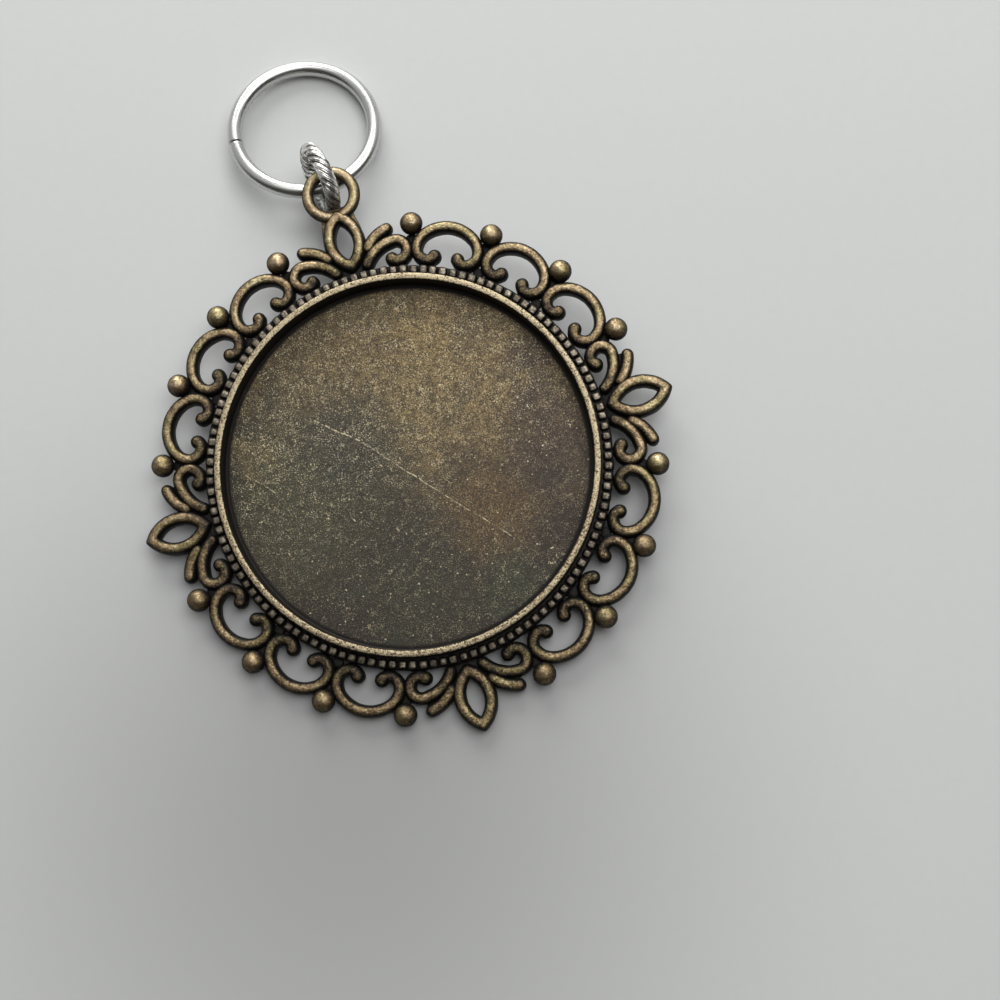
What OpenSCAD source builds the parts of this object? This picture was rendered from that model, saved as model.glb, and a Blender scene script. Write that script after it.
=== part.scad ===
// Round cabochon setting with a scrollwork border, worn as a pendant.
// The setting is one casting: tray, bead border, scrollwork and bail loop.
// A twisted jump ring ties its bail loop to a large split ring.
// All three lie face up on the floor, as they come to rest.
// Millimetres. The origin is on the floor, in the middle of their footprint.

/* [Tray] */
// Diameter of the cabochon that the tray takes
seat_d = 40; // [39.8:0.05:40.1]
// Depth of the tray, from the top of its rim to its floor
tray_depth = 2.3; // [1.8:0.1:2.5]
// Thickness of the tray's floor
tray_floor_t = 1; // [0.8:0.1:1.2]
// Width of the plain rim round the tray
rim_w = 0.75; // [0.6:0.05:0.8]
// Rounding of the rim's two top edges
rim_edge = 0.25; // [0.1:0.05:0.28]

/* [Bead border] */
// Number of beads round the rim
bead_count = 124; // [60:2:126]
// Diameter of one bead
bead_d = 1.02; // [0.6:0.02:1.04]
// Distance from the middle of the casting to the middle of a bead
bead_circle_r = 21.5; // [21.4:0.05:21.55]
// Outer radius of the flange that the beads and the scrolls stand on
flange_r = 22.25; // [22.2:0.05:22.4]
// Thickness of that flange
flange_t = 1.4; // [1.2:0.1:1.6]

/* [Scrollwork] */
// Height of the scrolls above the flat back
wire_h = 1.7; // [1.5:0.05:1.9]
// Height of the shoulder at both sides of a scroll's crown
wire_side_h = 1.25; // [1.1:0.05:1.35]
// Width of the shoulder
shoulder_w = 0.26; // [0.2:0.02:0.3]
// Width of the large C-scrolls
c_scroll_w = 1.3; // [1.2:0.05:1.4]
// Width of the hooked scrolls beside each leaf
hook_scroll_w = 1.2; // [1.1:0.05:1.3]
// Width of the short bars beside each leaf
side_bar_w = 1.15; // [1:0.05:1.2]
// Width of the band round each leaf
leaf_w = 1.35; // [1.2:0.05:1.4]
// Thickness of the thin webs between the scrolls
web_t = 0.8; // [0.6:0.05:1]
// Diameter of the balls between the scrolls
ball_d = 2.54; // [2.3:0.02:2.6]
// Distance from the middle of the casting to the middle of a ball
ball_circle_r = 26.77; // [26.6:0.01:26.9]

/* [Bail loop] */
// Diameter of the hole in the bail loop
bail_hole_d = 3.9; // [3.8:0.05:4]
// Thickness of the bail loop
bail_wire_d = 1.24; // [1.1:0.02:1.3]
// Distance from the middle of the casting to the middle of the bail loop
bail_centre_y = 31.65; // [31.6:0.01:31.7]

/* [Rings] */
// Diameter of the large ring, measured at the middle of its wire
large_ring_d = 16.2; // [16.1:0.02:16.3]
// Thickness of the large ring's wire
large_wire_d = 1.5; // [1.3:0.05:1.5]
// Width of the cut where the large ring's ends meet
large_cut_w = 0.12; // [0.08:0.02:0.3]
// Diameter of the twisted ring, measured at the middle of its wire
twisted_ring_d = 6.58; // [6.54:0.02:6.6]
// Thickness of the twisted ring over its strands
twisted_wire_d = 1.8; // [1.6:0.05:1.8]
// Depth of the grooves between the strands
groove_depth = 0.11; // [0.05:0.01:0.15]
// Number of strands twisted together
strand_count = 6; // [4:1:6]
// Number of full turns of the strands round the ring
strand_turns = 4; // [3:1:5]

/* [Rest] */
// Angle by which the bail end of the casting is lifted off the floor
casting_tilt = 3.6; // [3.6:0.1:3.9]
// Angle by which the large ring leans on the twisted ring
large_ring_tilt = 8.05; // [8:0.05:8.2]
// Direction in which the large ring leans down to the floor
large_ring_azimuth = 60.3; // [58:0.1:62]
// Angle by which the twisted ring leans over from upright
twisted_ring_lean = 11.6; // [11:0.1:12]
// Direction that the flat side of the twisted ring faces
twisted_ring_azimuth = 191.3; // [190:0.1:193]

/* [Hidden] */
bronze = [0.55, 0.44, 0.28];
silver = [0.72, 0.72, 0.7];
steel = [0.8, 0.81, 0.82];

round_fn = 96;
small_round_fn = 32;
stud_fn = 18;
seat_r = seat_d / 2;
rim_r = seat_r + rim_w;
rim_h = tray_floor_t + tray_depth;
bail_wire_r = bail_wire_d / 2;
bail_r = bail_hole_d / 2 + bail_wire_r;
large_wire_r = large_wire_d / 2;
large_ring_r = large_ring_d / 2;
twisted_wire_r = twisted_wire_d / 2;
twisted_ring_r = twisted_ring_d / 2;

// The pattern has four quarters, each with a leaf at one end.
quarter_count = 4;
quarter_turn = 360 / quarter_count;
// Directions of the C-scrolls and the balls, from the middle of a quarter.
c_scroll_turns = [-18.85, 0, 18.85];
ball_turns = [-28.42, -9.28, 9.28, 28.42];

// Outlines of the scrolls, seen with the middle of the casting straight below.
// Each row is one arc along the middle of the band:
// centre x, centre y, radius, first angle, last angle.
c_scroll_crown = [0, 22.88, 3.87, 45.5, 134.5];
c_scroll_side = [
    [1.1, 24, 2.3, 0, 45.5],
    [2.05, 24, 1.35, -90, 0],
    [2.05, 23.45, 0.8, -165, -90]
];
hook_scroll_arcs = [
    [5.25, 20.38, 4.12, 90, 147],
    [5.25, 23.3, 1.2, -90, 90],
    [5.25, 22.85, 0.75, -155, -90]
];
side_bar_arc = [5.54, 21.99, 4.07, 99.8, 142.8];
leaf_arc = [-1.9, 25.94, 3.57, -57.85, 57.85];

// Right halves of the webs' outlines, as corners in x and y. The left halves
// mirror them, in the opposite order.
leaf_web = [
    [1.8, 21.9], [3.1, 23.7], [5.2, 24.4], [5.1, 25.7],
    [3.4, 25.3], [1.9, 25.2], [1.35, 24.5], [0.3, 22.9]
];
shoulder_web = [[1.6, 29.3], [2.35, 29.9], [2.15, 28.9], [1.45, 27.6], [0.7, 28.3]];
// Round webs in the notches between neighbouring scrolls:
// direction from the middle of a quarter, distance outwards, radius.
notch_webs = [
    [-9.28, 25.2, 0.85], [9.28, 25.2, 0.85],
    [-28.3, 25, 0.8], [28.3, 25, 0.8],
    [-9.28, 22.45, 0.6], [9.28, 22.45, 0.6]
];

// Angle between neighbouring corners along an arc of a band, at most.
arc_step = 14;
// Gaps and corners narrower than this are filled, as the casting fills them.
fill_w = 0.1;
// How far a band's round end stands out beyond its sides.
knob_margin = 0.07;
// Height of the balls' underside, and depth of the beads' middles in the flange.
ball_z = 0.05;
bead_sink = 0.06;
// Height of the middle of the bail loop above the flat back.
bail_z = 0.9;
// The casting rests on the round tip of its bottom leaf and on the C-scroll
// left of that leaf. Their shared tangent is the line it is tilted about.
foot_leaf = [0, -leaf_arc[1] - leaf_arc[2] * sin(leaf_arc[4])];
foot_leaf_r = leaf_w / 2;
foot_scroll_turn = quarter_turn / 2 + c_scroll_turns[0];
foot_scroll = c_scroll_crown[1] * [-sin(foot_scroll_turn), -cos(foot_scroll_turn)];
foot_scroll_r = c_scroll_crown[2] + c_scroll_w / 2;
foot_span = foot_leaf - foot_scroll;
foot_direction = atan2(foot_span[1], foot_span[0]) - acos((foot_scroll_r - foot_leaf_r) / norm(foot_span));
foot_normal = [cos(foot_direction), sin(foot_direction)];
casting_lift = (foot_normal * foot_leaf + foot_leaf_r) * sin(casting_tilt);

// Middle of the large ring. It touches the floor where it leans down.
large_ring_centre = [-1.03, 41.05, large_wire_r + large_ring_r * sin(large_ring_tilt)];
// Direction of the cut, counted from the side that leans down.
large_cut_turn = 111.6;
large_cut_angle = large_cut_w / large_ring_r * 180 / PI;
// Middle of the twisted ring, which stands on the floor.
twisted_ring_centre = [-0.68, 33.84, twisted_wire_r + twisted_ring_r * cos(twisted_ring_lean)];

// Distance from the middle of the casting to the middle of the footprint.
footprint_y = (large_ring_centre[1] + large_ring_r + large_wire_r + foot_leaf[1] - foot_leaf_r) / 2;

// Sections of the twisted ring along its wire, and corners in each section.
rope_sections = 80;
rope_corners = 2 * strand_count;

// Points along one arc, at a given radius, from the first angle to the last.
function arc_points(arc, r, steps) = [
    for (i = [0 : steps])
        let (angle = arc[3] + (arc[4] - arc[3]) * i / steps)
        [arc[0] + r * cos(angle), arc[1] + r * sin(angle)]
];

// A list in the opposite order.
function reversed(list) = [for (i = [len(list) - 1 : -1 : 0]) list[i]];

// Outline of one arc of a band.
module band_arc(arc, w) {
    steps = ceil((arc[4] - arc[3]) / arc_step);
    polygon(concat(
        arc_points(arc, arc[2] + w / 2, steps),
        reversed(arc_points(arc, arc[2] - w / 2, steps))
    ));
}

// Round outline at a given angle on an arc.
module stud(arc, angle, r) {
    translate([arc[0] + arc[2] * cos(angle), arc[1] + arc[2] * sin(angle)])
        circle(r = r, $fn = stud_fn);
}

// Arcs of a band one after another, with a round joint between them.
module band(arcs, w) {
    for (i = [0 : len(arcs) - 1]) {
        band_arc(arcs[i], w);
        if (i > 0)
            stud(arcs[i], arcs[i][4], w / 2);
    }
}

// A web's whole outline from its right half.
function both_halves(half) = concat(half, reversed([for (corner = half) [-corner[0], corner[1]]]));

// Its children, and their mirror image across the radial line.
module both_sides() {
    for (side = [0, 1])
        mirror([side, 0, 0])
            children();
}

// Its children turned clockwise about the middle of the casting.
module turned(angle) {
    rotate([0, 0, -angle])
        children();
}

// Floor, wall and rounded rim of the tray, with the flange round it.
module tray() {
    rotate_extrude($fn = round_fn)
        polygon([
            [0, 0], [flange_r, 0], [flange_r, flange_t], [rim_r, flange_t],
            [rim_r, rim_h - rim_edge], [rim_r - rim_edge, rim_h],
            [seat_r + rim_edge, rim_h], [seat_r, rim_h - rim_edge],
            [seat_r, tray_floor_t], [0, tray_floor_t]
        ]);
}

// Beads sunk to half their height in the flange.
module bead_border() {
    for (i = [0 : bead_count - 1])
        turned(i * 360 / bead_count)
            translate([0, bead_circle_r, flange_t - bead_sink])
                sphere(d = bead_d, $fn = small_round_fn);
}

// Outline of a large open scroll with both ends curled in.
module c_scroll() {
    band_arc(c_scroll_crown, c_scroll_w);
    both_sides() {
        band(c_scroll_side, c_scroll_w);
        stud(c_scroll_crown, c_scroll_crown[3], c_scroll_w / 2);
        stud(c_scroll_side[2], c_scroll_side[2][3], c_scroll_w / 2 + knob_margin);
    }
}

// Outline of the scroll that springs from the foot of a leaf and hooks back.
module hook_scroll() {
    band(hook_scroll_arcs, hook_scroll_w);
    stud(hook_scroll_arcs[0], hook_scroll_arcs[0][4], hook_scroll_w / 2);
    stud(hook_scroll_arcs[2], hook_scroll_arcs[2][3], hook_scroll_w / 2 + knob_margin);
}

// Outline of the short curved bar above a hooked scroll.
module side_bar() {
    band_arc(side_bar_arc, side_bar_w);
    stud(side_bar_arc, side_bar_arc[3], side_bar_w / 2);
    stud(side_bar_arc, side_bar_arc[4], side_bar_w / 2);
}

// Outline of the open pointed leaf of two arcs that cross at both tips.
module leaf_loop() {
    both_sides()
        band_arc(leaf_arc, leaf_w);
    stud(leaf_arc, leaf_arc[3], leaf_w / 2);
    stud(leaf_arc, leaf_arc[4], leaf_w / 2);
}

// Outline of one quarter of the scrollwork's bands.
module quarter_outline() {
    leaf_loop();
    both_sides() {
        hook_scroll();
        side_bar();
    }
    for (turn = c_scroll_turns)
        turned(quarter_turn / 2 + turn)
            c_scroll();
}

// Outline of all the bands, with hairline gaps filled, drawn in at its edge.
module scroll_outline(inset) {
    offset(delta = -fill_w / 2 - inset)
        offset(delta = fill_w / 2)
            for (quarter = [0 : quarter_count - 1])
                turned(quarter * quarter_turn)
                    quarter_outline();
}

// The bands, with a shoulder at both sides of their crown.
module scroll_bands() {
    linear_extrude(height = wire_side_h)
        scroll_outline(0);
    linear_extrude(height = wire_h)
        scroll_outline(shoulder_w);
}

// Solid ball on the outer edge of the scrollwork.
module ball() {
    translate([0, ball_circle_r, ball_z + ball_d / 2])
        sphere(d = ball_d, $fn = small_round_fn);
}

// Thin webs behind a leaf and its scrolls.
module leaf_webs() {
    linear_extrude(height = web_t)
        polygon(both_halves(leaf_web));
}

// Thin round web in a notch.
module notch_web(web) {
    translate([0, web[1], 0])
        cylinder(r = web[2], h = web_t, $fn = small_round_fn);
}

// What stands with the bands in one quarter: balls and thin webs.
module quarter_fill() {
    leaf_webs();
    for (turn = ball_turns)
        turned(quarter_turn / 2 + turn)
            ball();
    for (web = notch_webs)
        turned(quarter_turn / 2 + web[0])
            notch_web(web);
}

// Round loop at the tip of the top leaf, with the shoulders that carry it.
module bail_loop() {
    translate([0, bail_centre_y, bail_z])
        rotate_extrude($fn = round_fn)
            translate([bail_r, 0])
                circle(r = bail_wire_r, $fn = small_round_fn);
    linear_extrude(height = bail_z + bail_wire_r / 2)
        polygon(both_halves(shoulder_web));
}

// The casting with its flat back level.
module casting() {
    tray();
    bead_border();
    scroll_bands();
    for (quarter = [0 : quarter_count - 1])
        turned(quarter * quarter_turn)
            quarter_fill();
    bail_loop();
}

// The casting as it rests, with the bail loop lifted over the large ring.
module medallion() {
    color(bronze)
        translate([0, -footprint_y, casting_lift])
            rotate(a = casting_tilt, v = [-foot_normal[1], foot_normal[0], 0])
                casting();
}

// A corner of the twisted wire: every other corner is a groove.
function rope_corner(section, corner) =
    let (
        along = 360 * section / rope_sections,
        around = 360 * corner / rope_corners + 360 * strand_turns * section / rope_sections,
        r = twisted_wire_r - (corner % 2) * groove_depth,
        reach = twisted_ring_r + r * cos(around)
    )
    [reach * cos(along), reach * sin(along), r * sin(around)];

// Number of a corner in the list, counted on past the last section and corner.
function rope_index(section, corner) =
    (section % rope_sections) * rope_corners + corner % rope_corners;

// Jump ring of strands twisted together.
module twisted_ring() {
    color(silver)
        translate(twisted_ring_centre - [0, footprint_y, 0])
            rotate([0, 90 - twisted_ring_lean, twisted_ring_azimuth])
                polyhedron(
                    points = [
                        for (s = [0 : rope_sections - 1], c = [0 : rope_corners - 1]) rope_corner(s, c)
                    ],
                    faces = [
                        for (s = [0 : rope_sections - 1], c = [0 : rope_corners - 1], half = [0, 1])
                            half == 0
                                ? [rope_index(s, c), rope_index(s, c + 1), rope_index(s + 1, c)]
                                : [rope_index(s, c + 1), rope_index(s + 1, c + 1), rope_index(s + 1, c)]
                    ]
                );
}

// Plain ring of round wire, cut across once.
module large_ring() {
    color(steel)
        translate(large_ring_centre - [0, footprint_y, 0])
            rotate([0, large_ring_tilt, large_ring_azimuth])
                rotate([0, 0, large_cut_turn + large_cut_angle / 2])
                    rotate_extrude(angle = 360 - large_cut_angle, $fn = round_fn)
                        translate([large_ring_r, 0])
                            circle(r = large_wire_r, $fn = small_round_fn);
}

medallion();
twisted_ring();
large_ring();
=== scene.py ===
"""Looks for a round cabochon setting with a scrollwork border and two jump rings.

The casting is modelled flat on its back, in metres, with its middle at the
origin and the bail loop towards +Y. It is then moved to the place in which the
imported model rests, so every finished piece sits at the origin unturned.
"""

from __future__ import annotations

import logging
import math
import random
from dataclasses import dataclass, field
from enum import Enum
from functools import reduce
from typing import Callable, Sequence

import bmesh
import bpy
from mathutils import Matrix, Vector

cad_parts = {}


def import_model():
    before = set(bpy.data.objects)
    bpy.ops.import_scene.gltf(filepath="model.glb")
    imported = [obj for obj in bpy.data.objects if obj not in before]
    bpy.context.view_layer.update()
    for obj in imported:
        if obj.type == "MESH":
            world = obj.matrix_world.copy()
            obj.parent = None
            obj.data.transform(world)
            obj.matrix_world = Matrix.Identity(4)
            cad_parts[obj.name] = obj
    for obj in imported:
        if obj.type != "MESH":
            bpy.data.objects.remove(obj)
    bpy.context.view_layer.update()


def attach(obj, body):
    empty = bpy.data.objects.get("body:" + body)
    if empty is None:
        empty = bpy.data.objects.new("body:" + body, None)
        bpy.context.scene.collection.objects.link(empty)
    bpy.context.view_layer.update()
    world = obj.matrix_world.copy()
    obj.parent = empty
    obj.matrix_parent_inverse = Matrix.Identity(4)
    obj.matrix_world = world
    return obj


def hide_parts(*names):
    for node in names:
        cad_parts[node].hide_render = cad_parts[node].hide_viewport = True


Point = tuple[float, float]
Triple = tuple[float, float, float]
Colour = tuple[float, float, float]
Piece = bpy.types.Object
Material = bpy.types.Material
Socket = bpy.types.NodeSocket

LOG = logging.getLogger("pendant")
BODY = "root"
RIDGE = "ridge"
UP = Vector((0, 0, 1))
FULL_TURN = 2 * math.pi
# One millimetre, in metres
MM = 0.001
# Vertices nearer to each other than this, in metres, are merged
WELD = 1e-6
# Faces that meet at less than this angle are shaded as one
SMOOTH_ANGLE = math.radians(50)
# Height of the tray's floor above the casting's back, in millimetres
TRAY_FLOOR = 1.0
# Directions along the paper: away from the viewer, and to the viewer's right
AWAY = (0.28, 0.94, 0)
RIGHTWARDS = (0.96, -0.28, 0)
# The stretch along AWAY over which the casting's painted shade on the near side fades out, in metres
NEAR_TO_FAR = (-0.036, 0.012)


def directions(count: int) -> list[float]:
    """Give directions spaced evenly round a full turn, in radians."""
    return [FULL_TURN * i / count for i in range(count)]


def both_sides(half: Sequence[Point]) -> list[Point]:
    """Close the right half of an outline with its mirror image."""
    return list(half) + [(-x, y) for x, y in reversed(half)]


class Side(Enum):
    """The two sides of the line through a leaf."""

    RIGHT = 1
    LEFT = -1


class Slot(Enum):
    """The record's material slots."""

    BRONZE = "bronze"
    SILVER = "silver"
    STEEL = "steel"


@dataclass(frozen=True)
class Arc:
    """One arc along the middle of a band, in millimetres and degrees, in travel order."""

    x: float
    y: float
    radius: float
    first: float
    last: float

    @property
    def centre(self) -> Vector:
        """The arc's centre in metres."""
        return Vector((self.x, self.y, 0)) * MM

    def outward(self, degrees: float) -> Vector:
        """The direction from the centre to a point on the arc."""
        turn = math.radians(degrees)
        return Vector((math.cos(turn), math.sin(turn), 0))

    def at(self, degrees: float) -> Vector:
        """The point on the arc in a direction, in metres."""
        return self.centre + self.outward(degrees) * self.radius * MM

    @property
    def sweep(self) -> float:
        """The signed angle from the arc's first point to its last, in radians."""
        return math.radians(self.last - self.first)


@dataclass(frozen=True)
class Rest:
    """How the casting rests: tilted about the line on which it touches the floor.

    The tilt is in degrees, the foot is the direction from the casting's middle
    to that line, and lift and shift are in millimetres.
    """

    tilt: float = 3.6
    foot: Point = (-0.3885, -0.9214)
    lift: float = 1.718
    shift: float = -10.131

    @property
    def matrix(self) -> Matrix:
        """The move from the flat casting to its place.

        Returns:
            The move's matrix.
        """
        axis = Vector((-self.foot[1], self.foot[0], 0))
        turn = Matrix.Rotation(math.radians(self.tilt), 4, axis)
        return Matrix.Translation(Vector((0, self.shift, self.lift)) * MM) @ turn

    @property
    def up(self) -> Vector:
        """The direction away from the casting's back."""
        return (self.matrix.to_3x3() @ UP).normalized()

    @property
    def back_height(self) -> float:
        """Distance of the casting's back from the origin, along up."""
        return self.up.dot(self.matrix.translation)

    def on_floor(self, point: Point) -> Vector:
        """Place a point of the tray's floor, given in the casting's millimetres."""
        return self.matrix @ (Vector((*point, TRAY_FLOOR)) * MM)


REST = Rest()


class Bench:
    """Starts, shapes and finishes one mesh at a time with Blender's operators."""

    @staticmethod
    def clear() -> None:
        """Leave edit mode and deselect everything."""
        if bpy.context.object and bpy.context.object.mode != "OBJECT":
            bpy.ops.object.mode_set(mode="OBJECT")
        bpy.ops.object.select_all(action="DESELECT")

    @staticmethod
    def pick(obj: Piece) -> None:
        """Select one object alone.

        Args:
            obj: The object.
        """
        Bench.clear()
        obj.select_set(True)
        bpy.context.view_layer.objects.active = obj

    @staticmethod
    def edit(obj: Piece) -> None:
        """Open one object in edit mode."""
        Bench.pick(obj)
        bpy.ops.object.mode_set(mode="EDIT")

    @staticmethod
    def edit_all(obj: Piece) -> None:
        """Open one object in edit mode with its whole mesh selected."""
        Bench.edit(obj)
        bpy.ops.mesh.select_all(action="SELECT")

    @staticmethod
    def name(obj: Piece, name: str) -> Piece:
        """Name an object and its mesh, and give the object back."""
        obj.name = obj.data.name = name
        return obj

    @staticmethod
    def choose(obj: Piece, test: Callable[[Vector], bool]) -> None:
        """Select, in edit mode, the vertices that pass a test.

        Args:
            obj: The object in edit mode.
            test: Takes a vertex's place and says whether it is chosen.
        """
        mesh = bmesh.from_edit_mesh(obj.data)
        mesh.select_mode = {"VERT"}
        for part in (*mesh.faces, *mesh.edges, *mesh.verts):
            part.select_set(False)
        for vert in mesh.verts:
            if test(vert.co):
                vert.select_set(True)
        mesh.select_flush_mode()
        bmesh.update_edit_mesh(obj.data)

    @staticmethod
    def outline(name: str, places: Sequence[Vector]) -> Piece:
        """Make a closed ring of edges through given places.

        Args:
            name: The new object's name.
            places: The ring's corners in order.

        Returns:
            The new object.
        """
        Bench.clear()
        bpy.ops.mesh.primitive_circle_add(vertices=len(places), radius=MM)
        obj = Bench.name(bpy.context.object, name)
        for vert, place in zip(obj.data.vertices, places):
            vert.co = place
        return obj

    @staticmethod
    def spin(centre: Vector, angle: float, steps: int) -> None:
        """Spin what is selected about an upright axis, anticlockwise from above."""
        bpy.ops.mesh.spin(steps=steps, angle=-angle, center=centre, axis=UP)

    @staticmethod
    def weld(obj: Piece) -> None:
        """Merge doubled vertices and point all faces outwards.

        Args:
            obj: The object.
        """
        Bench.edit_all(obj)
        bpy.ops.mesh.remove_doubles(threshold=WELD)
        bpy.ops.mesh.normals_make_consistent(inside=False)
        Bench.clear()

    @staticmethod
    def apply(obj: Piece, kind: str, **settings: object) -> None:
        """Add one modifier and apply it.

        Args:
            obj: The object.
            kind: The modifier's type.
            **settings: The modifier's values by name.
        """
        Bench.pick(obj)
        modifier = obj.modifiers.new(kind.lower(), kind)
        for key, value in settings.items():
            setattr(modifier, key, value)
        bpy.ops.object.modifier_apply(modifier=modifier.name)

    @staticmethod
    def smooth(obj: Piece) -> None:
        """Round a cage with one level of subdivision surface."""
        Bench.apply(obj, "SUBSURF", levels=1, render_levels=1)

    @staticmethod
    def bevel(obj: Piece, width: float, segments: int, **settings: object) -> None:
        """Round the sharp edges by a width in millimetres."""
        Bench.apply(obj, "BEVEL", width=width * MM, segments=segments, limit_method="ANGLE", **settings)

    @staticmethod
    def plate(name: str, corners: Sequence[Point], height: float) -> Piece:
        """Make a thin flat plate with softened edges.

        Args:
            name: The new object's name.
            corners: Its outline in millimetres.
            height: Its thickness in millimetres.

        Returns:
            The plate.
        """
        obj = Bench.outline(name, [Vector((*corner, 0)) * MM for corner in corners])
        Bench.edit_all(obj)
        bpy.ops.mesh.edge_face_add()
        bpy.ops.mesh.extrude_region_move(TRANSFORM_OT_translate={"value": UP * height * MM})
        Bench.weld(obj)
        Bench.bevel(obj, 0.12, 2)
        return obj

    @staticmethod
    def copies(obj: Piece, moves: Sequence[Matrix]) -> list[Piece]:
        """Copy an object once for each move, each copy with its own mesh.

        Args:
            obj: The object, which is used up.
            moves: One matrix for each copy.

        Returns:
            The moved copies.
        """
        made = []
        for move in moves:
            Bench.pick(obj)
            bpy.ops.object.duplicate()
            copy = bpy.context.object
            copy.data.transform(move)
            made.append(copy)
        bpy.data.objects.remove(obj)
        return made

    @staticmethod
    def join(name: str, objects: Sequence[Piece]) -> Piece:
        """Join objects into one.

        Args:
            name: The joined object's name.
            objects: The objects, which are used up.

        Returns:
            The joined object.
        """
        Bench.clear()
        for obj in objects:
            obj.select_set(True)
        bpy.context.view_layer.objects.active = objects[0]
        bpy.ops.object.join()
        return Bench.name(bpy.context.object, name)

    @staticmethod
    def roughen(obj: Piece, depth: float, size: float) -> None:
        """Give a surface the slight waviness of a casting.

        Args:
            obj: The object, in the casting's own frame.
            depth: How far the surface moves at most, in millimetres.
            size: The size of the waves, in millimetres.
        """
        texture = bpy.data.textures.new(obj.name + "_waves", "CLOUDS")
        texture.noise_scale = size * MM
        texture.noise_depth = 2
        Bench.apply(
            obj,
            "DISPLACE",
            texture=texture,
            texture_coords="GLOBAL",
            strength=depth * MM,
            mid_level=0.5,
        )

    @staticmethod
    def finish(
        obj: Piece, slot: Slot, material: Material, node: str
    ) -> Piece:
        """Dress a piece and hand it to the frame.

        Args:
            obj: The piece, already in its place.
            slot: The record's slot that the piece's finish belongs to; it is not used.
            material: The piece's material.
            node: The CAD node that the piece stands for.

        Returns:
            The same object.
        """
        Bench.pick(obj)
        bpy.ops.object.shade_smooth_by_angle(angle=SMOOTH_ANGLE)
        obj.data.materials.clear()
        obj.data.materials.append(material)
        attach(obj, BODY)
        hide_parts(node)
        LOG.info("%s: %d faces", obj.name, len(obj.data.polygons))
        return obj

    @staticmethod
    def cast(obj: Piece, material: Material) -> Piece:
        """Move a piece of the casting to its place and finish it."""
        obj.data.transform(REST.matrix)
        return Bench.finish(obj, Slot.BRONZE, material, "medallion")


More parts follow.
